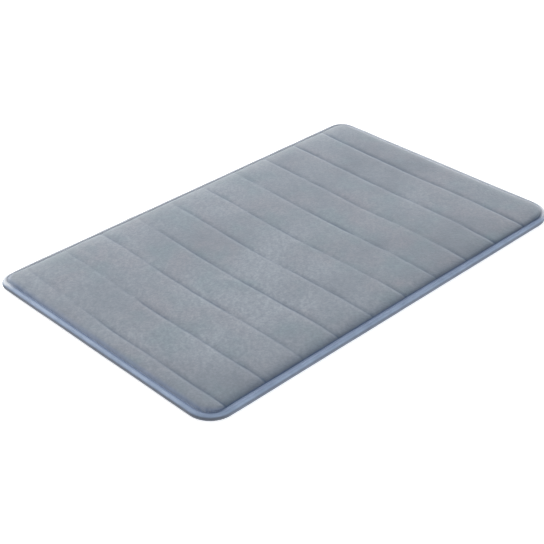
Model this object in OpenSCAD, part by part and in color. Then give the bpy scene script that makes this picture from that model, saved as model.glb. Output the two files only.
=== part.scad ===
// Bath mat: a foam pad under a fleece face with pressed channels, on a dotted non-slip cloth,
// with a tape sewn round its edge.
// X runs along the long side, Y along the short side and Z up. The origin is on the floor,
// under the middle of the mat. All sizes are in millimetres.

/* [Mat] */
// Length of the mat along X
mat_l = 800; // [600:10:1000]
// Width of the mat along Y
mat_w = 500; // [400:10:700]
// Height of the fleece above the floor
mat_h = 18; // [18:0.5:21]
// Radius of the four corners, seen from above
corner_r = 40; // [30:1:80]

/* [Fleece face] */
// Thickness of the fleece with its pile
fleece_t = 3; // [2:0.5:3.5]
// Thickness of the fleece where the seam presses it flat
fleece_edge_t = 2; // [2:0.1:2.5]
// Radius of the shoulder where the fleece rolls down to the binding
shoulder_r = 11; // [10:0.5:13]

/* [Pressed channels] */
// Number of channels across the mat
channel_count = 10; // [6:1:12]
// Distance from the left end to the first channel
channel_first = 40; // [30:1:60]
// Radius of a channel, which is also its depth
channel_r = 4; // [3:0.25:4.25]

/* [Edge binding] */
// Height of the bound edge
edge_h = 12.5; // [12:0.25:12.5]
// Radius of the fold of the tape, above and below
edge_r = 5.5; // [3.5:0.25:5.5]
// Width of the binding, seen from above
binding_w = 10; // [9.5:0.5:12]
// Thickness of the tape
tape_t = 0.8; // [0.8:0.1:1.2]
// Distance of the seam from the outer edge
seam_inset = 8.2; // [8:0.1:8.7]
// Diameter of the sewing thread
thread_d = 0.6; // [0.3:0.1:0.6]

/* [Underside] */
// Thickness of the backing cloth
backing_t = 0.8; // [0.5:0.1:1.5]
// Diameter of a grip dot
dot_d = 4; // [2:0.5:6]
// Distance between grip dots
dot_pitch = 25; // [20:1:40]

/* [Hidden] */
$fn = 96;

// The first strip is what is left over. All the other strips have the same width.
channel_pitch = (mat_l - channel_first) / channel_count;

// Heights of the layers. The tape lies under the backing, and the dots are as deep as the tape.
backing_z = tape_t;
foam_z = backing_z + backing_t;
foam_top = mat_h - fleece_t;
layers_edge_top = edge_h - tape_t;
foam_edge_top = layers_edge_top - fleece_edge_t;

// The shoulder's centre is set so that the fleece meets the level of the seam just inside the tape.
trough_w = 0.5;
shoulder_z = mat_h - shoulder_r;
shoulder_s = binding_w + trough_w + sqrt(pow(shoulder_r, 2) - pow(layers_edge_top - shoulder_z, 2));

// The dots keep clear of the binding, and this is their centres' least distance from the outer edge.
dot_gap = 1.5;
dot_margin = binding_w + dot_gap + dot_d / 2;
dot_row = dot_pitch * sin(60);
dot_rows = floor(mat_w / dot_row / 2);
dot_columns = floor(mat_l / dot_pitch / 2);

// Length of a channel cutter past each side of the mat
overrun = 1;

fleece_colour = "#8e9aa3";
foam_colour = "#e6e3d6";
backing_colour = "#b4b8bb";
dot_colour = "#d5d8d9";
tape_colour = "#8e9bab";
thread_colour = "#9aa8b8";

// ---- Outlines of the edge, in distance from the outer edge and height ----

// A rounded nose that opens inwards
module nose(h, r, depth) {
    translate([r, 0]) square([depth - r, h]);
    translate([0, r]) square([r, h - 2 * r]);
    for (z = [r, h - r]) translate([r, z]) circle(r = r);
}

// The part of an outline between two heights, as far in as the rim goes
module between(z0, z1) {
    intersection() {
        children();
        translate([0, z0]) square([corner_r, z1 - z0]);
    }
}

// The space inside the tape, which all the layers fill
module layers_nose() {
    translate([tape_t, tape_t])
        nose(edge_h - 2 * tape_t, edge_r - tape_t, corner_r - tape_t);
}

// The raised pad inside the seam, with a rolled edge
module pad(r) {
    translate([shoulder_s, shoulder_z]) circle(r = r);
    translate([shoulder_s, 0]) square([corner_r - shoulder_s, shoulder_z + r]);
}

module cover_outline() {
    between(foam_edge_top, layers_edge_top) layers_nose();
    between(foam_edge_top, mat_h) pad(shoulder_r);
}

module foam_outline() {
    between(foam_z, foam_edge_top) layers_nose();
    between(foam_z, foam_top) pad(shoulder_r - fleece_t);
}

module backing_outline() {
    between(backing_z, foam_z) layers_nose();
}

module needle_thread_outline() {
    translate([seam_inset, edge_h]) circle(d = thread_d);
}

// The thread below is pressed flush with the underside of the tape.
module bobbin_thread_outline() {
    translate([seam_inset, thread_d / 2]) circle(d = thread_d);
    translate([seam_inset - thread_d / 2, 0]) square([thread_d, thread_d / 2]);
}

module tape_outline() {
    difference() {
        intersection() {
            nose(edge_h, edge_r, binding_w + 2 * edge_r);
            square([binding_w, edge_h]);
        }
        layers_nose();
        needle_thread_outline();
        bobbin_thread_outline();
    }
}

// ---- Solids ----

// Runs an outline along one straight side, whose outer face is at y = -offset
module side(length, offset) {
    translate([-length / 2, -offset, 0])
        rotate([90, 0, 90]) linear_extrude(length) children();
}

// Runs an outline all the way round the mat
module rim() {
    straight_l = mat_l - 2 * corner_r;
    straight_w = mat_w - 2 * corner_r;
    for (turn = [0, 180]) {
        rotate([0, 0, turn]) side(straight_l, mat_w / 2) children();
        rotate([0, 0, turn + 90]) side(straight_w, mat_l / 2) children();
    }
    for (mx = [0, 1], my = [0, 1])
        mirror([mx, 0, 0]) mirror([0, my, 0])
            translate([straight_l / 2, straight_w / 2, 0])
                rotate_extrude(angle = 90) translate([corner_r, 0]) mirror([1, 0]) children();
}

// A layer of the mat: an outline all the way round it, and a flat middle between two heights
module layer(z0, z1) {
    rim() children();
    translate([corner_r - mat_l / 2, corner_r - mat_w / 2, z0])
        cube([mat_l - 2 * corner_r, mat_w - 2 * corner_r, z1 - z0]);
}

// Presses the channels into a layer
module channelled(r) {
    difference() {
        children();
        for (i = [0 : channel_count - 1])
            translate([channel_first + i * channel_pitch - mat_l / 2, 0, mat_h])
                rotate([90, 0, 0]) cylinder(r = r, h = mat_w + 2 * overrun, center = true);
    }
}

module foam_shape() {
    channelled(channel_r + fleece_t) layer(foam_z, foam_top) foam_outline();
}

module face_fleece() {
    color(fleece_colour) difference() {
        channelled(channel_r) layer(foam_edge_top, mat_h) cover_outline();
        foam_shape();
    }
}

module foam_core() {
    color(foam_colour) foam_shape();
}

module backing_cloth() {
    color(backing_colour) layer(backing_z, foam_z) backing_outline();
}

// True where a dot is far enough from the outer edge, round the corners too
function dot_fits(x, y) =
    norm([
        max(abs(x) - mat_l / 2 + corner_r, 0),
        max(abs(y) - mat_w / 2 + corner_r, 0)
    ]) <= corner_r - dot_margin;

module grip_dots() {
    color(dot_colour)
        for (row = [-dot_rows : dot_rows], column = [-dot_columns : dot_columns]) {
            x = (column + (row % 2 == 0 ? 0 : 0.5)) * dot_pitch;
            y = row * dot_row;
            if (dot_fits(x, y)) translate([x, y, 0]) cylinder(d = dot_d, h = backing_z, $fn = 24);
        }
}

module edge_binding() {
    color(tape_colour) rim() tape_outline();
}

module binding_needle_thread() {
    color(thread_colour) rim() needle_thread_outline();
}

module binding_bobbin_thread() {
    color(thread_colour) rim() bobbin_thread_outline();
}

face_fleece();
foam_core();
backing_cloth();
grip_dots();
edge_binding();
binding_needle_thread();
binding_bobbin_thread();
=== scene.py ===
"""Bath mat: a plush fleece face with pressed channels, on foam and a dotted backing, with a sewn edge tape.

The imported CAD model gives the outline, the heights of the layers and the frame. Every length here is in
metres in that frame: X along the long side, Y along the short side, Z up, and the floor at zero.
"""
import math

import bpy
import numpy as np
from mathutils import Matrix, Vector


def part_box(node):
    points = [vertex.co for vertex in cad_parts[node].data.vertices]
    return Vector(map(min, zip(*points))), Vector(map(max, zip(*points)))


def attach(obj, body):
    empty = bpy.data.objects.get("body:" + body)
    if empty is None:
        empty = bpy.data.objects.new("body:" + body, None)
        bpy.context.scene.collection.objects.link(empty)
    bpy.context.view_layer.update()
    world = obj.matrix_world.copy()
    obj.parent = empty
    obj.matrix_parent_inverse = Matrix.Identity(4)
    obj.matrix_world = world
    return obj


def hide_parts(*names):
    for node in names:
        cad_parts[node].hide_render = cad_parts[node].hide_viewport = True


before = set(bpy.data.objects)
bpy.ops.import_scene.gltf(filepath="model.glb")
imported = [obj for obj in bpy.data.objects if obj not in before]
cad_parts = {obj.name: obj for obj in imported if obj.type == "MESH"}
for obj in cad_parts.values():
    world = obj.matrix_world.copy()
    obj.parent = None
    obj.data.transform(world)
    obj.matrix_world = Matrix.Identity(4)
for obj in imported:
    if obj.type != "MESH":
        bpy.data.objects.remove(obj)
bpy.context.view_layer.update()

MM = 0.001

# ---- Sizes that the CAD frame gives ----
binding_low, binding_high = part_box("edge_binding")
foam_low, foam_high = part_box("foam_core")
LENGTH = binding_high.x - binding_low.x
WIDTH = binding_high.y - binding_low.y
EDGE_TOP = binding_high.z
MAT_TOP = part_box("face_fleece")[1].z
FLEECE_EDGE_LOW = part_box("face_fleece")[0].z
FOAM_TOP = foam_high.z
FOAM_LOW = foam_low.z
BACKING_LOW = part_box("backing_cloth")[0].z

# ---- Sizes of the design that a box doesn't give ----
# Radius of each corner by the signs of x and y. The CAD has 40 mm at all four, but the sewn edge varies.
CORNER_RADII = {(1, -1): 48 * MM, (1, 1): 32 * MM, (-1, 1): 26 * MM, (-1, -1): 41 * MM}
TAPE_T = 0.8 * MM
TAPE_W = 10 * MM
TAPE_FOLD_R = 5.5 * MM
SEAM_INSET = 8.2 * MM
CHANNEL_FIRST = 40 * MM  # from the left-hand end
CHANNEL_COUNT = 10
CHANNEL_PITCH = (LENGTH - CHANNEL_FIRST) / CHANNEL_COUNT
CHANNELS = [CHANNEL_FIRST - LENGTH / 2 + i * CHANNEL_PITCH for i in range(CHANNEL_COUNT)]

# ---- How the cloth lies ----
# Areas where a hand has brushed the pile: middle x and y and reach in millimetres, and how much lighter
# the area looks, with a minus where it is darker
BRUSHED_AREAS = (
    (-300, 220, 130, 0.25), (-190, 200, 90, 0.3), (50, 210, 90, 0.4), (-110, 90, 60, -0.5),
    (-300, 50, 90, -0.4), (220, 90, 120, -0.3), (350, 20, 70, -0.4), (-80, -50, 130, 0.3),
    (230, -60, 90, 0.5), (-230, -90, 110, 0.4), (190, -160, 70, -0.4), (-320, -180, 60, -0.35),
    (400, -60, 200, -0.35), (-300, -60, 110, 0.25))
# Size, seed and share of the random patches between them
LEAN_PATCHES = ((120 * MM, 81, 0.2), (50 * MM, 82, 0.2))
PAD_RISE = 1.4 * MM  # how far the pad swells between the lines where it is held down
PAD_SOFT = 2.4 * MM  # how soon the foam stops it from swelling further
PAD_CELL = 9 * MM  # spacing of the coarse cloth that finds the swelling
PAD_FRAMES = 20
CREASE_DEPTH = 1.2 * MM  # the pressed line at the bottom of a channel
CREASE_W = 4.2 * MM
FRONT_SINK, FRONT_SINK_W = 3.6 * MM, 17 * MM  # how far the pad sinks towards its edge, and over what width
LEFT_SINK, LEFT_SINK_W = 0.8 * MM, 7 * MM
FAR_SINK = 1.6 * MM  # the same along the back and right-hand edges
DRIFT = 4.5 * MM  # how far to the left the channels lie, beyond the third one
LEAN = 0.04  # sideways lean of the channels towards the back edge
HOOK = 4 * MM  # how far their front ends bend back, on the right-hand side of the mat
TROUGH_S = 10.4 * MM  # where the pile comes out from under the tape
TROUGH_DIP = 0.8 * MM  # how far the seam pulls the tape and the layers down there
END_DROP = 1.1 * MM  # how much flatter the binding lies at the left-hand end
NARROWING = 0.22  # how much narrower the binding is at the right-hand end of the front edge, as a share
SHOULDER_W = 8 * MM  # how far in the steep part of the shoulder reaches from the trough
END_SHOULDER_W = 4 * MM
STITCH = 4 * MM
JOIN_X, JOIN_W = -0.13, 15 * MM  # where the tape's two ends overlap, on the back edge
THREAD_R = 0.26 * MM
THREAD_DEPTH = 0.75 * MM  # how far a thread dives into the needle's holes, from its own level
THREAD_TRAVEL = 0.95 * MM  # how far it comes back out between them
NEEDLE_LEVEL = EDGE_TOP - 0.35 * MM
BOBBIN_LEVEL = 0.7 * MM
RIPPLE = 0.06 * MM  # unevenness of the backing
DOT_R = 2 * MM
DOT_GAP = 1.5 * MM  # clear backing between the binding and the dots
DOT_PITCH = 12.5 * MM
DOT_SIDES = 9
DOT_RINGS = ((1.0, 1.06), (0.93, 0.45), (0.62, 0.1), (0.3, 0.0))  # radius and height, as shares of the dot's

# ---- Room between the layers, and under the CAD's box ----
TAPE_ROOM = 0.3 * MM  # how far the tape's top is below the CAD's, so that it can swell
PILE_ROOM = 0.4 * MM  # the same for the fleece
FOAM_ROOM = 0.3 * MM
LAYER_GAP = 0.05 * MM
LEAST_FLEECE = 0.4 * MM  # least thickness of the fleece


# ---- Helpers ----

def smooth_step(t):
    """Rises smoothly from 0 to 1 as t does, and stays level outside that."""
    t = np.clip(t, 0, 1)
    return t * t * (3 - 2 * t)


def bell(value, middle, width):
    """1 at the middle, falling to 1/e a width away from it."""
    return np.exp(-(((value - middle) / width) ** 2))


def corner_radius(x, y):
    """Radius of the corner in the same quarter of the mat."""
    front = np.where(x > 0, CORNER_RADII[1, -1], CORNER_RADII[-1, -1])
    back = np.where(x > 0, CORNER_RADII[1, 1], CORNER_RADII[-1, 1])
    return np.where(y > 0, back, front)


def inset_of(x, y):
    """Distance in from the outer edge of the mat, seen from above."""
    r = corner_radius(x, y)
    qx = np.abs(x) - (LENGTH / 2 - r)
    qy = np.abs(y) - (WIDTH / 2 - r)
    past = np.hypot(np.maximum(qx, 0), np.maximum(qy, 0))
    return r - past - np.minimum(np.maximum(qx, qy), 0)


def binding_share(x, y):
    """Width of the binding there, as a share of its full width."""
    return 1 - NARROWING * smooth_step(x / (360 * MM)) * smooth_step(-(y + 130 * MM) / (90 * MM))


def edge_distance(x, y):
    """Distance in from the outer edge, stretched where the binding is narrower."""
    return inset_of(x, y) / binding_share(x, y)


def noise(x, y, size, seed):
    """Smooth noise from -1 to 1, with lumps of about that size. It repeats after a count of them."""
    count = 64
    table = np.random.default_rng(seed).uniform(-1, 1, (count, count))
    gx, gy = x / size, y / size
    ix, iy = np.floor(gx).astype(int), np.floor(gy).astype(int)
    fx, fy = smooth_step(gx - ix), smooth_step(gy - iy)
    a, b = table[ix % count, iy % count], table[(ix + 1) % count, iy % count]
    c, d = table[ix % count, (iy + 1) % count], table[(ix + 1) % count, (iy + 1) % count]
    return (a * (1 - fx) + b * fx) * (1 - fy) + (c * (1 - fx) + d * fx) * fy


def piece(name, points, faces, material):
    """A smooth-shaded mesh that rides on the mat's one body."""
    mesh = bpy.data.meshes.new(name)
    mesh.from_pydata(np.asarray(points, float).reshape(-1, 3).tolist(), [], faces)
    mesh.validate()
    mesh.polygons.foreach_set("use_smooth", [True] * len(mesh.polygons))
    mesh.materials.append(material)
    obj = bpy.data.objects.new(name, mesh)
    bpy.context.scene.collection.objects.link(obj)
    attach(obj, "root")
    return obj


def point_attribute(obj, name, values):
    """Gives each point of a mesh a number that its material reads by name."""
    attribute = obj.data.attributes.new(name, "FLOAT", "POINT")
    attribute.data.foreach_set("value", np.asarray(values, np.float32).ravel())


# ---- The grid that the layers share ----

def spaced_lines(half, coarse, fine, centres, reach):
    """Grid lines from -half to half, coarse apart, and fine apart within reach of each centre."""
    at = np.linspace(-half, half, 20001)
    density = np.full(at.shape, 1 / coarse)
    for centre in centres:
        close = np.exp(-(((at - centre) / reach) ** 4))
        density = np.maximum(density, close / fine)
    total = np.concatenate([[0], np.cumsum((density[1:] + density[:-1]) / 2 * np.diff(at))])
    count = 2 * round(total[-1] / 2)
    return np.interp(np.linspace(0, total[-1], count + 1), total, at)


def laid_out(u, v, inset):
    """Grid positions in the mat: bent round the corners, and leaning with the channels."""
    half_x, half_y, r = LENGTH / 2 - inset, WIDTH / 2 - inset, corner_radius(u, v) - inset
    cx, cy = (np.abs(u) - half_x + r) / r, (np.abs(v) - half_y + r) / r
    in_corner = (cx > 0) & (cy > 0)
    round_x = cx * np.sqrt(np.maximum(1 - cy**2 / 2, 0))
    round_y = cy * np.sqrt(np.maximum(1 - cx**2 / 2, 0))
    x = np.where(in_corner, np.sign(u) * (half_x - r + r * round_x), u)
    y = np.where(in_corner, np.sign(v) * (half_y - r + r * round_y), v)
    wander = 1.3 * MM * noise(x, y, 80 * MM, 3) + 0.5 * MM * noise(x, y, 22 * MM, 5)
    shift = LEAN * np.maximum(y, 0) + wander
    shift -= DRIFT * smooth_step((x + 250 * MM) / (200 * MM))
    shift -= HOOK * smooth_step(-(y + 130 * MM) / (90 * MM)) * smooth_step(x / (250 * MM))
    inside = smooth_step((LENGTH / 2 - np.abs(x)) / (30 * MM))
    return x + shift * inside, y


def layer_faces(columns, rows):
    """Quads between the points of a columns x rows grid."""
    index = np.arange(columns * rows).reshape(columns, rows)
    quads = np.stack([index[:-1, :-1], index[1:, :-1], index[1:, 1:], index[:-1, 1:]], -1)
    return quads.reshape(-1, 4)


def rim_of(index):
    """The grid points round the edge, in order."""
    return np.concatenate([index[:-1, 0], index[-1, :-1], index[:0:-1, -1], index[0, :0:-1]])


def closed_layer(name, top, under, material):
    """A closed sheet from a fine top grid and an underside with half its lines."""
    columns, rows = top.shape[:2]
    low_index = columns * rows + np.arange(under.shape[0] * under.shape[1]).reshape(under.shape[:2])
    low = np.stack([low_index[:-1, :-1], low_index[:-1, 1:], low_index[1:, 1:], low_index[1:, :-1]], -1)
    fine, coarse = rim_of(np.arange(columns * rows).reshape(columns, rows)), rim_of(low_index)
    faces = layer_faces(columns, rows).tolist() + low.reshape(-1, 4).tolist()
    step = len(fine) // len(coarse)
    for i, (a, b) in enumerate(zip(coarse, np.roll(coarse, -1))):
        ring = [fine[(step * i + k) % len(fine)] for k in range(step + 1)]
        faces.append([int(n) for n in (*ring[::-1], a, b)])
    points = np.concatenate([top.reshape(-1, 3), under.reshape(-1, 3)])
    return piece(name, points, faces, material)


# ---- The swelling of the pad ----

def pad_lines():
    """Lines of the coarse cloth: it is held down at the seam and along every channel."""
    stops = [TROUGH_S - LENGTH / 2, *CHANNELS, LENGTH / 2 - TROUGH_S]
    across = []
    for start, end in zip(stops, stops[1:]):
        across += np.linspace(start, end, round((end - start) / PAD_CELL), endpoint=False).tolist()
    across.append(stops[-1])
    reach = WIDTH / 2 - TROUGH_S
    return np.array(across), np.linspace(-reach, reach, round(2 * reach / PAD_CELL))


def swollen_pad():
    """Heights of the coarse cloth above its held lines, from a cloth simulation."""
    across, along = pad_lines()
    u, v = np.meshgrid(across, along, indexing="ij")
    lift = 0.3 * MM * (1 + 0.5 * noise(u, v, 30 * MM, 71))
    held = (channel_distance(u) < MM) | (np.abs(u) > across[-2]) | (np.abs(v) > along[-2])
    mesh = bpy.data.meshes.new("pad_cloth")
    points = np.stack([u, v, np.where(held, 0, lift)], -1)
    mesh.from_pydata(points.reshape(-1, 3).tolist(), [], layer_faces(*u.shape).tolist())
    cloth = bpy.data.objects.new("pad_cloth", mesh)
    bpy.context.scene.collection.objects.link(cloth)
    pins = cloth.vertex_groups.new(name="held")
    pins.add(np.flatnonzero(held).tolist(), 1, "REPLACE")
    modifier = cloth.modifiers.new("cloth", "CLOTH")
    settings = modifier.settings
    settings.quality = 6
    settings.mass = 0.3
    settings.vertex_group_mass = pins.name
    settings.tension_stiffness = 4
    settings.compression_stiffness = 4
    settings.shear_stiffness = 2
    settings.bending_stiffness = 5
    settings.use_pressure = True
    settings.uniform_pressure_force = 4
    settings.effector_weights.gravity = 0
    modifier.point_cache.frame_end = PAD_FRAMES
    for step in range(1, PAD_FRAMES + 1):
        bpy.context.scene.frame_set(step)
    settled = cloth.evaluated_get(bpy.context.evaluated_depsgraph_get()).data
    places = np.empty(len(settled.vertices) * 3)
    settled.vertices.foreach_get("co", places)
    bpy.data.objects.remove(cloth)
    bpy.context.scene.frame_set(1)
    return across, along, places.reshape(*u.shape, 3)[..., 2]


def between_lines(values, lines, at):
    """Smooth values along the first axis, through the ones on the lines."""
    position = np.interp(at, lines, np.arange(len(lines)))
    start = np.clip(position.astype(int), 0, len(lines) - 2)
    t = (position - start)[:, None]
    a, b, c, d = [values[np.clip(start + k, 0, len(lines) - 1)] for k in (-1, 0, 1, 2)]
    return b + t / 2 * (c - a + t * (2 * a - 5 * b + 4 * c - d + t * (3 * (b - c) + d - a)))


def pad_swell(u, v):
    """The swelling at the lines of a finer grid. The foam inside lets it rise only so far."""
    across, along, height = PAD
    fine = between_lines(between_lines(height, across, u[:, 0]).T, along, v[0]).T
    return PAD_RISE * (1 - np.exp(-np.maximum(fine, 0) / PAD_SOFT)) + 0.05 * fine


# ---- Heights of the layers ----

def channel_distance(u):
    """Distance to the nearest channel, along the grid."""
    return np.min([np.abs(u - c) for c in CHANNELS], axis=0)


def channel_strength(u, v):
    """How firmly each stretch of a channel is pressed, from 0.1 to 1.15. The back left is the weakest."""
    weak_corner = 0.35 * smooth_step((-u / LENGTH + v / WIDTH - 0.1) / 0.6)
    first = 0.3 * smooth_step((-u - 320 * MM) / (30 * MM))
    uneven = 0.68 + 0.35 * u / LENGTH - weak_corner + first
    uneven = uneven + 0.46 * noise(u, v, 110 * MM, 11) + 0.3 * noise(u, v, 24 * MM, 13)
    return np.clip(uneven, 0.1, 1.15)


def near(value, half):
    """1 within 20 mm of the edge at half, and 0 from 50 mm on."""
    return smooth_step((value - half + 50 * MM) / (30 * MM))


def far_side(x, y):
    """1 along the back and right-hand edges, and 0 away from them."""
    return np.maximum(near(y, WIDTH / 2), near(x, LENGTH / 2))


def by_side(x, y, usual, left, far):
    """A size that changes along the left-hand end, and along the back and right-hand edges."""
    size = usual + (far - usual) * far_side(x, y)
    return size + (left - size) * near(-x, LENGTH / 2)


def crown(u, v, s, top, depth):
    """Height of the middle of a layer: the channels' pressed lines in a pad that sinks towards its edge."""
    crease = depth * channel_strength(u, v) * bell(channel_distance(u), 0, CREASE_W)
    width = by_side(u, v, FRONT_SINK_W, LEFT_SINK_W, FRONT_SINK_W)
    sink = by_side(u, v, FRONT_SINK, LEFT_SINK, FAR_SINK) * np.exp(-np.maximum(s - TROUGH_S, 0) / width)
    return top - PAD_RISE + pad_swell(u, v) - crease - sink


def edge_dip(x, y, s):
    """How far the upper side of the bound edge lies below its full height."""
    return TROUGH_DIP * smooth_step((s - 5 * MM) / (5 * MM)) + by_side(x, y, 0, END_DROP, 0)


def under_tape(x, y, s, top):
    """Height of the layers' upper face inside the fold of the tape."""
    inner_r = TAPE_FOLD_R - TAPE_T
    drop = inner_r - np.sqrt(np.maximum(inner_r**2 - np.clip(TAPE_FOLD_R - s, 0, inner_r) ** 2, 0))
    return top - drop - edge_dip(x, y, s)


def rolled(x, y, s, start):
    """The shoulder: 0 at its foot and 1 where it meets the crown, in a quarter of an ellipse."""
    rise = np.clip((s - start) / by_side(x, y, SHOULDER_W, END_SHOULDER_W, SHOULDER_W), 0, 1)
    return np.sqrt(1 - (1 - rise) ** 2)


def fleece_top(x, y, u, v):
    """Height of the pile's surface."""
    s = edge_distance(x, y)
    roll = rolled(x, y, s, TROUGH_S + 0.5 * MM * noise(x, y, 9 * MM, 21))
    low = under_tape(x, y, s, EDGE_TOP - 1.6 * TAPE_T)
    high = crown(u, v, s, MAT_TOP - PILE_ROOM, CREASE_DEPTH)
    uneven = 0.3 * MM * noise(x, y, 60 * MM, 31) + 0.14 * MM * noise(x, y, 8 * MM, 41)
    return low + roll * (high - low + uneven)


def foam_surface(x, y, u, v):
    """Height of the foam under the fleece."""
    s = edge_distance(x, y)
    roll = rolled(x, y, s, TROUGH_S + 1.5 * MM)
    low = under_tape(x, y, s, FLEECE_EDGE_LOW)
    return low + roll * (crown(u, v, s, FOAM_TOP - FOAM_ROOM, 0.8 * CREASE_DEPTH) - low)


def grid(inset, coarse, fine):
    """The shared grid lines as (u, v) with their places (x, y)."""
    half_x, half_y = LENGTH / 2 - inset, WIDTH / 2 - inset
    u = spaced_lines(half_x, coarse, fine, CHANNELS + [-half_x, half_x], 9 * MM)
    v = spaced_lines(half_y, coarse, fine, [-half_y, half_y], 18 * MM)
    u, v = np.meshgrid(u, v, indexing="ij")
    x, y = laid_out(u, v, inset)
    return x, y, u, v


def pile_lean(x, y):
    """How light the pile looks by the way that it leans: about 0.5, less where dark and more where light."""
    lean = 0.5 + sum(share * noise(x, y, size, seed) for size, seed, share in LEAN_PATCHES)
    bent_x = x + 25 * MM * noise(x, y, 60 * MM, 83)
    bent_y = y + 25 * MM * noise(x, y, 60 * MM, 84)
    for middle_x, middle_y, reach, share in BRUSHED_AREAS:
        away = np.hypot(bent_x / MM - middle_x, bent_y / MM - middle_y) / reach
        lean = lean + share * np.exp(-(away**2))
    return lean


# ---- Materials ----

def new_material(name):
    """A material, with its nodes, its links and its shader."""
    material = bpy.data.materials.new(name)
    material.use_nodes = True
    nodes = material.node_tree.nodes
    return material, nodes, material.node_tree.links, nodes["Principled BSDF"]


def srgb(r, g, b):
    """A colour given as it looks on a screen, from 0 to 255."""
    line = [c / 255 for c in (r, g, b)]
    return (*[((c + 0.055) / 1.055) ** 2.4 if c > 0.04045 else c / 12.92 for c in line], 1)


def add_noise(nodes, links, vector, scale, detail=2.0, rough=0.5):
    """Noise with about that many lumps to a metre, or to a unit of the vector."""
    node = nodes.new("ShaderNodeTexNoise")
    node.inputs["Scale"].default_value = scale
    node.inputs["Detail"].default_value = detail
    node.inputs["Roughness"].default_value = rough
    links.new(vector, node.inputs["Vector"])
    return node.outputs["Fac"]


def add_math(nodes, links, operation, a, b):
    """One sum of two values. Each is a number or comes out of a node."""
    node = nodes.new("ShaderNodeMath")
    node.operation = operation
    for socket, value in zip(node.inputs, (a, b)):
        if isinstance(value, (int, float)):
            socket.default_value = value
        else:
            links.new(value, socket)
    return node.outputs[0]


def add_mix(nodes, links, factor, a, b):
    """Mixes colour b into colour a. Each value is given or comes out of a node."""
    node = nodes.new("ShaderNodeMix")
    node.data_type = "RGBA"
    for socket, value in ((node.inputs[0], factor), (node.inputs[6], a), (node.inputs[7], b)):
        if hasattr(value, "links"):
            links.new(value, socket)
        else:
            socket.default_value = value
    return node.outputs[2]


def add_range(nodes, links, value, low, high, to_low=0.0, to_high=1.0):
    """Carries a value smoothly over from one range to another."""
    node = nodes.new("ShaderNodeMapRange")
    node.interpolation_type = "SMOOTHSTEP"
    links.new(value, node.inputs["Value"])
    for key, number in (("From Min", low), ("From Max", high), ("To Min", to_low), ("To Max", to_high)):
        node.inputs[key].default_value = number
    return node.outputs["Result"]


def add_mapping(nodes, links, vector, lengthwise, crosswise, turn):
    """Coordinates for noise whose lumps have these sizes along and across a direction in the plan."""
    node = nodes.new("ShaderNodeMapping")
    node.vector_type = "TEXTURE"
    node.inputs["Scale"].default_value = (lengthwise, crosswise, crosswise)
    node.inputs["Rotation"].default_value = (0, 0, turn)
    links.new(vector, node.inputs["Vector"])
    return node.outputs["Vector"]


def add_bump(nodes, links, height, distance, strength, normal=None):
    """Tilts the surface as that height pattern would."""
    node = nodes.new("ShaderNodeBump")
    node.inputs["Strength"].default_value = strength
    node.inputs["Distance"].default_value = distance
    links.new(height, node.inputs["Height"])
    if normal is not None:
        links.new(normal, node.inputs["Normal"])
    return node.outputs["Normal"]


def add_tint(nodes, links, colour, pattern, first, second, share, tint):
    """Mixes a tint into the colour: none at the pattern's first value, and the share of it at the second."""
    return add_mix(nodes, links, add_range(nodes, links, pattern, first, second, 0, share), colour, tint)


def add_wave(nodes, links, value, length):
    """Sine of a distance, with that wavelength."""
    turns = add_math(nodes, links, "MULTIPLY", value, 2 * math.pi / length)
    return add_math(nodes, links, "SINE", turns, 0)


def place(nodes):
    """Place in the shared frame, for noise."""
    return nodes.new("ShaderNodeTexCoord").outputs["Object"]


def attribute_value(nodes, name):
    """What a point attribute says there."""
    node = nodes.new("ShaderNodeAttribute")
    node.attribute_name = name
    return node.outputs["Fac"]


def fleece_material():
    """Short brushed pile that leans this way and that, with painted shade and painted light from its
    attributes.
    """
    material, nodes, links, shader = new_material("plush_fleece")
    at = place(nodes)
    brushed_way = math.pi / 4
    colour = add_mix(nodes, links, attribute_value(nodes, "lean"), srgb(112, 119, 129), srgb(148, 155, 164))
    warm = add_noise(nodes, links, at, 9, 2, 0.6)
    colour = add_tint(nodes, links, colour, warm, 0.42, 0.7, 0.5, srgb(142, 138, 145))
    cool = add_noise(nodes, links, at, 15, 2, 0.6)
    colour = add_tint(nodes, links, colour, cool, 0.46, 0.7, 0.52, srgb(114, 136, 143))
    along_strokes = add_mapping(nodes, links, at, 40 * MM, 26 * MM, brushed_way)
    strokes = add_noise(nodes, links, along_strokes, 1, 4, 0.62)
    colour = add_tint(nodes, links, colour, strokes, 0.32, 0.68, 0.22, srgb(149, 155, 163))
    along_clumps = add_mapping(nodes, links, at, 11 * MM, 6.5 * MM, brushed_way)
    clumps = add_noise(nodes, links, along_clumps, 1, 2, 0.6)
    colour = add_tint(nodes, links, colour, clumps, 0.3, 0.7, 0.42, srgb(110, 118, 129))
    tufts = add_noise(nodes, links, at, 230, 3, 0.62)
    colour = add_tint(nodes, links, colour, tufts, 0.32, 0.68, 0.4, srgb(104, 112, 123))
    # Pressed pile in the channels with painted shade in their creases and along the front edge; painted
    # shade at the seam; a painted highlight along the back and right-hand edges; painted light by the seam
    # at the left-hand end.
    tints = {
        "pressed": srgb(70, 86, 107), "seam": srgb(68, 94, 136), "far_edge_highlight": srgb(172, 176, 180),
        "left_end_light": srgb(160, 171, 192)}
    for name, tint in tints.items():
        colour = add_mix(nodes, links, attribute_value(nodes, name), colour, tint)
    links.new(colour, shader.inputs["Base Color"])
    shader.inputs["Roughness"].default_value = 0.95
    shader.inputs["Specular IOR Level"].default_value = 0.15
    shader.inputs["Sheen Weight"].default_value = 0.65
    shader.inputs["Sheen Roughness"].default_value = 0.5
    shader.inputs["Sheen Tint"].default_value = srgb(222, 228, 235)
    pile = add_noise(nodes, links, at, 900, 3, 0.7)
    normal = add_bump(nodes, links, tufts, 0.9 * MM, 0.6)
    links.new(add_bump(nodes, links, pile, 0.35 * MM, 0.5, normal), shader.inputs["Normal"])
    return material


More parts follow.
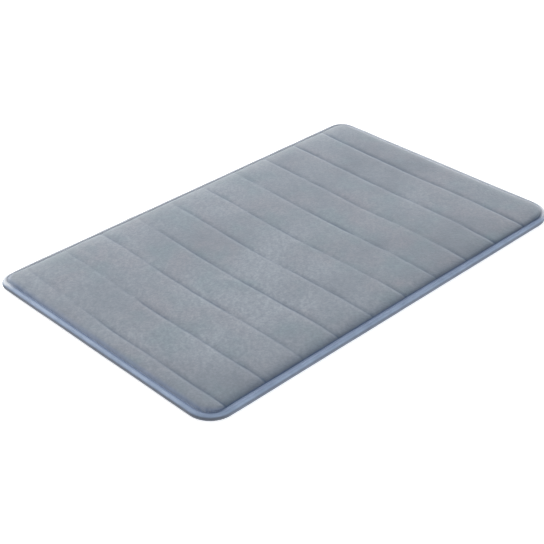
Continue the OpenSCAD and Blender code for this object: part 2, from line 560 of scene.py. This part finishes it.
def tape_material():
    """Brushed knit tape with fine ribs, with painted shade by the seam and low down, and a painted highlight
    on the far edges.
    """
    material, nodes, links, shader = new_material("binding_tape")
    across = attribute_value(nodes, "across")
    at = place(nodes)
    ribs = add_wave(nodes, links, across, 0.9 * MM)
    wales = add_wave(nodes, links, attribute_value(nodes, "along"), 1.1 * MM)
    knit = add_math(nodes, links, "ADD", add_math(nodes, links, "MULTIPLY", wales, 0.5), ribs)
    fuzz = add_noise(nodes, links, at, 1100, 3, 0.7)
    tone = add_range(nodes, links, add_noise(nodes, links, at, 40, 3, 0.6), 0.3, 0.7)
    colour = add_mix(nodes, links, tone, srgb(140, 157, 183), srgb(158, 175, 201))
    fuzzy = add_math(nodes, links, "MULTIPLY", fuzz, 0.25)
    colour = add_mix(nodes, links, fuzzy, colour, srgb(108, 125, 151))
    # Painted shade on the top of the tape by the seam, where the fleece shades it.
    colour = add_tint(nodes, links, colour, across, 7.5 * MM, 3 * MM, 0.8, srgb(80, 102, 138))
    # Painted highlight on the top of the tape along the back and right-hand edges.
    on_top = add_range(nodes, links, across, 10 * MM, 7 * MM)
    far_highlight = add_math(nodes, links, "MULTIPLY", attribute_value(nodes, "far"), on_top)
    colour = add_mix(nodes, links, far_highlight, colour, srgb(196, 200, 206))
    # Painted shade on the lower side of the tape, where little light reaches, and more of it at the
    # left-hand end.
    shade_below_nose = add_range(nodes, links, across, 8.5 * MM, 12.5 * MM, 0, 0.85)
    under = add_range(nodes, links, across, 20 * MM, 23 * MM, 1, 0)
    painted_low_shade = add_math(nodes, links, "MULTIPLY", shade_below_nose, under)
    colour = add_mix(nodes, links, painted_low_shade, colour, srgb(72, 80, 92))
    left_low_shade = add_math(nodes, links, "MULTIPLY", painted_low_shade, attribute_value(nodes, "left"))
    colour = add_mix(nodes, links, left_low_shade, colour, srgb(64, 70, 80))
    links.new(colour, shader.inputs["Base Color"])
    shader.inputs["Roughness"].default_value = 0.6
    shader.inputs["Specular IOR Level"].default_value = 0.35
    shader.inputs["Sheen Weight"].default_value = 0.5
    shader.inputs["Sheen Roughness"].default_value = 0.5
    shader.inputs["Sheen Tint"].default_value = srgb(225, 232, 245)
    normal = add_bump(nodes, links, knit, 0.06 * MM, 0.6)
    links.new(add_bump(nodes, links, fuzz, 0.2 * MM, 0.4, normal), shader.inputs["Normal"])
    return material


def thread_material(name):
    """Two-ply sewing thread: the twist runs along it as a helix."""
    material, nodes, links, shader = new_material(name)
    twist = add_math(
        nodes, links, "ADD",
        add_math(nodes, links, "MULTIPLY", attribute_value(nodes, "along"), 2 * math.pi / (1.1 * MM)),
        add_math(nodes, links, "MULTIPLY", attribute_value(nodes, "round"), 2.0))
    ply = add_math(nodes, links, "SINE", twist, 0)
    # Painted shade: the thread is darker in the groove between its plies.
    tone = add_range(nodes, links, ply, -1, 1)
    colour = add_mix(nodes, links, tone, srgb(104, 122, 152), srgb(150, 166, 194))
    links.new(colour, shader.inputs["Base Color"])
    shader.inputs["Roughness"].default_value = 0.45
    shader.inputs["Sheen Weight"].default_value = 0.2
    links.new(add_bump(nodes, links, ply, 0.12 * MM, 0.8), shader.inputs["Normal"])
    return material


def backing_material():
    """Plain-woven cloth, with the threads over and under each other."""
    material, nodes, links, shader = new_material("backing_weave")
    at = place(nodes)
    split = nodes.new("ShaderNodeSeparateXYZ")
    links.new(at, split.inputs[0])
    warp = add_wave(nodes, links, split.outputs["X"], 1.6 * MM)
    weft = add_wave(nodes, links, split.outputs["Y"], 1.6 * MM)
    weave = add_math(nodes, links, "MULTIPLY", warp, weft)
    # Painted shade: the weave is darker where it is low.
    tone = add_range(nodes, links, weave, -1, 1)
    patches = add_range(nodes, links, add_noise(nodes, links, at, 30, 3, 0.6), 0.3, 0.7)
    colour = add_mix(nodes, links, tone, srgb(158, 163, 168), srgb(186, 190, 193))
    share = add_math(nodes, links, "MULTIPLY", patches, 0.3)
    colour = add_mix(nodes, links, share, colour, srgb(170, 172, 172))
    links.new(colour, shader.inputs["Base Color"])
    shader.inputs["Roughness"].default_value = 0.85
    links.new(add_bump(nodes, links, weave, 0.12 * MM, 0.7), shader.inputs["Normal"])
    return material


def dot_material():
    """Soft milky plastic, a little dusty on top."""
    material, nodes, links, shader = new_material("grip_plastic")
    at = place(nodes)
    dust = add_range(nodes, links, add_noise(nodes, links, at, 600, 3, 0.6), 0.35, 0.7)
    colour = add_mix(nodes, links, dust, srgb(222, 225, 226), srgb(202, 206, 208))
    links.new(colour, shader.inputs["Base Color"])
    links.new(add_range(nodes, links, dust, 0, 1, 0.35, 0.55), shader.inputs["Roughness"])
    links.new(add_bump(nodes, links, dust, 0.03 * MM, 0.5), shader.inputs["Normal"])
    return material


def foam_material():
    """Open-cell foam: small round pores."""
    material, nodes, links, shader = new_material("memory_foam")
    at = place(nodes)
    cells = nodes.new("ShaderNodeTexVoronoi")
    cells.inputs["Scale"].default_value = 900
    links.new(at, cells.inputs["Vector"])
    # Painted shade: the pores are darker than the cell walls around them.
    pore = add_range(nodes, links, cells.outputs["Distance"], 0.05, 0.5)
    colour = add_mix(nodes, links, pore, srgb(196, 190, 168), srgb(233, 229, 214))
    links.new(colour, shader.inputs["Base Color"])
    shader.inputs["Roughness"].default_value = 0.95
    links.new(add_bump(nodes, links, pore, 0.3 * MM, 0.7), shader.inputs["Normal"])
    return material


def floor_material():
    """White floor, lit a little from below as a light table is."""
    material, nodes, links, shader = new_material("pale_floor")
    grain = add_noise(nodes, links, place(nodes), 3, 2, 0.5)
    colour = add_mix(nodes, links, grain, srgb(250, 250, 250), srgb(246, 247, 248))
    links.new(colour, shader.inputs["Base Color"])
    shader.inputs["Roughness"].default_value = 0.9
    shader.inputs["Specular IOR Level"].default_value = 0.1
    shader.inputs["Emission Color"].default_value = (1, 1, 1, 1)
    shader.inputs["Emission Strength"].default_value = 0.7
    return material


# ---- Sub-parts ----

def make_fleece():
    """The face cloth, with the looks of its pile as attributes: pressed pile with painted shade, painted
    shade at the seam, a painted highlight on the far edges, painted light at the left-hand end, and lean.
    """
    x, y, u, v = grid(inset=1.9 * MM, coarse=3.6 * MM, fine=1.1 * MM)
    top = np.stack([x, y, fleece_top(x, y, u, v)], -1)
    under_z = foam_surface(x, y, u, v) + LAYER_GAP
    top[..., 2] = np.maximum(top[..., 2], under_z + LEAST_FLEECE)
    under = np.stack([x, y, under_z], -1)[::2, ::2]
    fleece = closed_layer("face_fleece_pile", top, under, fleece_material())
    s = edge_distance(x, y)
    across = channel_distance(u)
    # The channels' creases are darker: pressed pile, and painted shade where the crease is shaded.
    valley = channel_strength(u, v) * bell(across, 0, CREASE_W)
    line = channel_strength(u, v) * bell(across, 0, 1.5 * MM)
    left_end = near(-x, LENGTH / 2)
    # Painted shade in the trough between the tape and the fleece.
    seam = (0.75 - 0.1 * left_end) * bell(s, TROUGH_S, 1.4 * MM)
    in_from_seam = np.maximum(s - TROUGH_S, 0)
    # Painted shade along the front edge, where the shoulder faces away from the light.
    front_edge_shade = bell(in_from_seam, 4 * MM, 8 * MM) * near(-y, WIDTH / 2) * (1 - left_end)
    pressed = np.clip(0.25 * valley + 0.55 * line + 0.5 * front_edge_shade, 0, 1)
    # Painted highlight along the back and right-hand edges, where the pile catches the light at a low angle.
    far_edge_highlight = 0.4 * np.maximum(
        near(y, WIDTH / 2) * np.exp(-in_from_seam / (30 * MM)),
        near(x, LENGTH / 2) * np.exp(-in_from_seam / (10 * MM)))
    # Painted light by the seam at the left-hand end, where the shoulder is in shade.
    left_end_light = 0.36 * left_end * bell(in_from_seam, 1.6 * MM, 2.6 * MM)
    lean = pile_lean(x, y)
    looks = {"pressed": pressed, "seam": seam, "far_edge_highlight": far_edge_highlight, "left_end_light": left_end_light, "lean": lean}
    for name, values in looks.items():
        point_attribute(fleece, name, np.concatenate([values.ravel(), np.zeros(under[..., 0].size)]))
    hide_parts("face_fleece")


def make_foam():
    """The foam, which follows the fleece from below and is flat on the backing."""
    x, y, u, v = grid(inset=2.2 * MM, coarse=5 * MM, fine=2 * MM)
    top = np.stack([x, y, foam_surface(x, y, u, v)], -1)
    under = np.stack([x, y, np.full(x.shape, FOAM_LOW + LAYER_GAP)], -1)[::2, ::2]
    foam = closed_layer("foam_core_pad", top, under, foam_material())
    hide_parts("foam_core")


def make_backing():
    """The backing cloth, slightly rippled below."""
    x, y, u, v = grid(inset=2.6 * MM, coarse=6 * MM, fine=4 * MM)
    ripple = RIPPLE * noise(x, y, 20 * MM, 51)
    top = np.stack([x, y, np.full(x.shape, FOAM_LOW)], -1)
    under = np.stack([x, y, BACKING_LOW + RIPPLE + ripple], -1)[::2, ::2]
    backing = closed_layer("backing_cloth_sheet", top, under, backing_material())
    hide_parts("backing_cloth")


def dot_shape():
    """Points and faces of one dot: rings from its base, in the backing, down to its flat end."""
    angles = np.arange(DOT_SIDES) * 2 * math.pi / DOT_SIDES
    dot = [
        (r * DOT_R * math.cos(a), r * DOT_R * math.sin(a), z * BACKING_LOW)
        for r, z in DOT_RINGS for a in angles]
    end = (len(DOT_RINGS) - 1) * DOT_SIDES
    faces = [list(range(DOT_SIDES)), list(range(end, end + DOT_SIDES))[::-1]]
    for start in range(0, end, DOT_SIDES):
        for k in range(DOT_SIDES):
            a, b = start + k, start + (k + 1) % DOT_SIDES
            faces.append([a, a + DOT_SIDES, b + DOT_SIDES, b])
    return np.array(dot), faces


def make_dots():
    """Domed dots in staggered rows, all in one mesh."""
    dot, faces = dot_shape()
    row_step = DOT_PITCH * math.sin(math.pi / 3)
    rows, columns = int(WIDTH / 2 / row_step), int(LENGTH / 2 / DOT_PITCH)
    points, all_faces = [], []
    for row in range(-rows, rows + 1):
        for column in range(-columns, columns + 1):
            x, y = (column + (row % 2) / 2) * DOT_PITCH, row * row_step
            if inset_of(x, y) < TAPE_W + DOT_R + DOT_GAP:
                continue
            base = len(points) * len(dot)
            points.append(dot + (x, y, 0))
            all_faces += [[base + i for i in face] for face in faces]
    dots = piece("grip_dot_field", np.concatenate(points), all_faces, dot_material())
    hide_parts("grip_dots")


def edge_path(step):
    """Points round the outer edge seen from above, their outward directions, and the length along."""
    edge, outward = [], []
    for quarter, (sx, sy) in enumerate(((1, -1), (1, 1), (-1, 1), (-1, -1))):
        r = CORNER_RADII[sx, sy]
        angle = np.linspace(quarter - 1, quarter, 25) * math.pi / 2
        out = np.stack([np.cos(angle), np.sin(angle)], -1)
        edge.append(np.array([sx * (LENGTH / 2 - r), sy * (WIDTH / 2 - r)]) + r * out)
        outward.append(out)
    edge = np.concatenate(edge + [edge[0][:1]])
    outward = np.concatenate(outward + [outward[0][:1]])
    length = np.concatenate([[0], np.cumsum(np.hypot(*np.diff(edge, axis=0).T))])
    along = np.arange(round(length[-1] / step)) * length[-1] / round(length[-1] / step)
    places = np.stack([np.interp(along, length, edge[:, k]) for k in (0, 1)], -1)
    facing = np.stack([np.interp(along, length, outward[:, k]) for k in (0, 1)], -1)
    return places, facing / np.linalg.norm(facing, axis=1, keepdims=True), along, length[-1]


def swept(name, inset, height, path, material, across, around):
    """A closed ring of profiles. inset and height are arrays of rings x profile points."""
    places, outward, along, _ = path
    rings, count = inset.shape
    points = np.empty((rings, count, 3))
    points[..., :2] = places[:, None] - outward[:, None] * inset[..., None]
    points[..., 2] = height
    index = np.arange(rings * count).reshape(rings, count)
    after, beside = np.roll(index, -1, 0), np.roll(index, -1, 1)
    quads = np.stack([index, after, np.roll(after, -1, 1), beside], -1).reshape(-1, 4)
    obj = piece(name, points, quads.tolist(), material)
    point_attribute(obj, "along", np.broadcast_to(along[:, None], inset.shape))
    point_attribute(obj, across, np.broadcast_to(around, inset.shape))
    return obj


def stitch_phase(along, total):
    """An angle that turns once with each stitch. It is zero at the needle's holes."""
    return along * 2 * math.pi * round(total / STITCH) / total


def tape_face(r, legs, turn):
    """One face of the folded tape, as inset and height: the top leg, the fold and the bottom leg."""
    high, low = EDGE_TOP - TAPE_ROOM - TAPE_FOLD_R, TAPE_FOLD_R
    upper = [(s, high + r) for s in legs]
    upper += [(TAPE_FOLD_R + r * math.cos(a), high + r * math.sin(a)) for a in turn]
    lower = [(TAPE_FOLD_R + r * math.cos(a), low - r * math.sin(a)) for a in turn[::-1]]
    return upper + lower + [(s, low - r) for s in legs[::-1]]


def tape_section():
    """Outline of the folded tape, each point's way out as it swells, and how many points are outside."""
    legs, turn = np.linspace(TAPE_W, TAPE_FOLD_R, 7)[:-1], np.linspace(math.pi / 2, math.pi, 7)
    outer = tape_face(TAPE_FOLD_R, legs, turn)
    inner = tape_face(TAPE_FOLD_R - TAPE_T, legs[::3], turn[::2])
    out = [(0, 1)] * len(legs) + [(math.cos(a), math.sin(a)) for a in turn]
    out += [(math.cos(a), 0) for a in turn[::-1]] + [(0, 0)] * (len(legs) + len(inner))
    return np.array(outer + inner[::-1]), np.array(out), len(outer)


def tape_swell(section, x, y, along, phase):
    """How far the tape's outer face swells: between the stitches, unevenly, and where its ends overlap."""
    s, z = section.T
    puff = bell(s, 4.2 * MM, 2.6 * MM) * (z > EDGE_TOP / 2) * (0.25 + 0.12 * np.cos(phase + 1.2))
    drag = 0.07 * bell(s, 1.5 * MM, 1.8 * MM) * np.cos(phase + z / MM * 0.9)
    uneven = 0.22 * noise(along[:, None], z * 3, 38 * MM, 61)
    overlap = smooth_step((JOIN_W / 2 - np.abs(x - JOIN_X)) / (0.8 * MM)) * (y > WIDTH / 2 - MM)
    return (puff + drag + uneven + 0.55 * overlap) * MM


def make_binding():
    """The tape round the edge: puffed between the stitches, pulled in at them, and lower at the seam."""
    path = edge_path(1.0 * MM)
    places, _, along, total = path
    x, y = places[:, :1], places[:, 1:]
    section, out, outer_count = tape_section()
    s, z = section.T
    phase = stitch_phase(along[:, None], total)
    swell = tape_swell(section, x, y, along, phase)
    dimple = 0.25 * MM * (1 + np.cos(phase)) * bell(s, SEAM_INSET, 1.3 * MM) * (z > EDGE_TOP / 2)
    dip = edge_dip(x, y, s[None]) * smooth_step((z - 3 * MM) / (6 * MM))
    inset = s * binding_share(x, y) + swell * out[:, 0]
    height = z + swell * out[:, 1] - dimple - dip
    across = np.cumsum(np.concatenate([[0], np.hypot(*np.diff(section, axis=0).T)]))
    tape = swept("edge_binding_tape", inset, height, path, tape_material(), "across", across)
    # Marks the back and right-hand edges, where the material paints a highlight on the tape.
    point_attribute(tape, "far", far_side(x, y) * np.ones(inset.shape))
    # Marks the left-hand end, where the material paints more shade low on the tape.
    point_attribute(tape, "left", near(-x, LENGTH / 2) * np.ones(inset.shape))
    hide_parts("edge_binding")


def make_thread(name, node, level, sign):
    """One thread of the seam: it lies on the tape between the needle's holes and dives into them.

    The sign is 1 for a thread on the top of the tape and -1 for one below it.
    """
    path = edge_path(STITCH / 8)
    places, _, along, total = path
    lift = np.clip(1.5 * (1 - np.cos(stitch_phase(along, total))) / 2, 0, 1)
    centre = level + sign * (lift * THREAD_TRAVEL - THREAD_DEPTH)
    angle = np.arange(6) * math.pi / 3
    inset = SEAM_INSET * binding_share(places[:, :1], places[:, 1:]) + THREAD_R * np.cos(angle)
    height = centre[:, None] + THREAD_R * np.sin(angle)[None, :]
    thread = swept(name, inset, height, path, thread_material(name), "round", angle)
    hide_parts(node)
    return thread


# ---- Stage ----

def make_floor():
    """A wide flat floor."""
    reach = 20.0
    mesh = bpy.data.meshes.new("floor")
    corners = [(-reach, -reach, 0), (reach, -reach, 0), (reach, reach, 0), (-reach, reach, 0)]
    mesh.from_pydata(corners, [], [(0, 1, 2, 3)])
    mesh.materials.append(floor_material())
    floor = bpy.data.objects.new("floor", mesh)
    bpy.context.scene.collection.objects.link(floor)


def aim(obj, place_at, target, roll=0.0):
    """Puts an object somewhere with its -Z axis towards the target."""
    back = (Vector(place_at) - Vector(target)).normalized()
    turn = back.to_track_quat("Z", "Y").to_matrix() @ Matrix.Rotation(roll, 3, "Z")
    obj.matrix_world = Matrix.Translation(place_at) @ turn.to_4x4()


def direction(azimuth, elevation):
    """Unit vector towards a place seen from the mat. Azimuth 0 is the -Y side and 90 the +X side."""
    a, e = math.radians(azimuth), math.radians(elevation)
    return Vector((math.sin(a) * math.cos(e), -math.cos(a) * math.cos(e), math.sin(e)))


def make_camera():
    """A camera in front of the mat and to its left, a third of the way up."""
    target = Vector((-0.0667, -0.0305, 0))
    distance = 1.9726
    roll = math.radians(-0.3)
    data = bpy.data.cameras.new("camera")
    data.sensor_width = 36
    data.lens = 81.8
    camera = bpy.data.objects.new("camera", data)
    bpy.context.scene.collection.objects.link(camera)
    aim(camera, target + distance * direction(azimuth=-44.41, elevation=32.81), target, roll)
    bpy.context.scene.camera = camera


def add_light(name, towards, distance, size, power, colour):
    """A round light in that direction, aimed at the middle of the mat."""
    data = bpy.data.lights.new(name, "AREA")
    data.shape = "DISK"
    data.size = size
    data.energy = power
    data.color = colour
    light = bpy.data.objects.new(name, data)
    bpy.context.scene.collection.objects.link(light)
    aim(light, distance * towards, Vector((0, 0, 0)))


def make_lights():
    """A large soft light behind, a low one in front, and a room that is brighter behind, on the right."""
    add_light("key", direction(174, 28), distance=4.5, size=3.9, power=294, colour=(1.0, 0.995, 0.985))
    add_light("fill", direction(-11, 12), distance=4.5, size=3.4, power=130, colour=(0.97, 0.985, 1.0))
    world = bpy.data.worlds.new("studio")
    world.use_nodes = True
    nodes, links = world.node_tree.nodes, world.node_tree.links
    background = nodes["Background"]
    background.inputs["Color"].default_value = (0.97, 0.985, 1.0, 1)
    towards = nodes.new("ShaderNodeVectorMath")
    towards.operation = "DOT_PRODUCT"
    towards.inputs[1].default_value = (0.3, 0.95, 0)
    links.new(nodes.new("ShaderNodeTexCoord").outputs["Generated"], towards.inputs[0])
    glow = add_range(nodes, links, towards.outputs["Value"], -0.8, 0.8, 0.1, 0.62)
    links.new(glow, background.inputs["Strength"])
    bpy.context.scene.world = world
    bpy.context.scene.view_settings.view_transform = "Standard"


make_camera()
make_lights()
make_floor()
PAD = swollen_pad()
make_fleece()
make_foam()
make_backing()
make_dots()
needle_thread = make_thread("seam_needle_thread", "binding_needle_thread", NEEDLE_LEVEL, 1)
bobbin_thread = make_thread("seam_bobbin_thread", "binding_bobbin_thread", BOBBIN_LEVEL, -1)
make_binding()
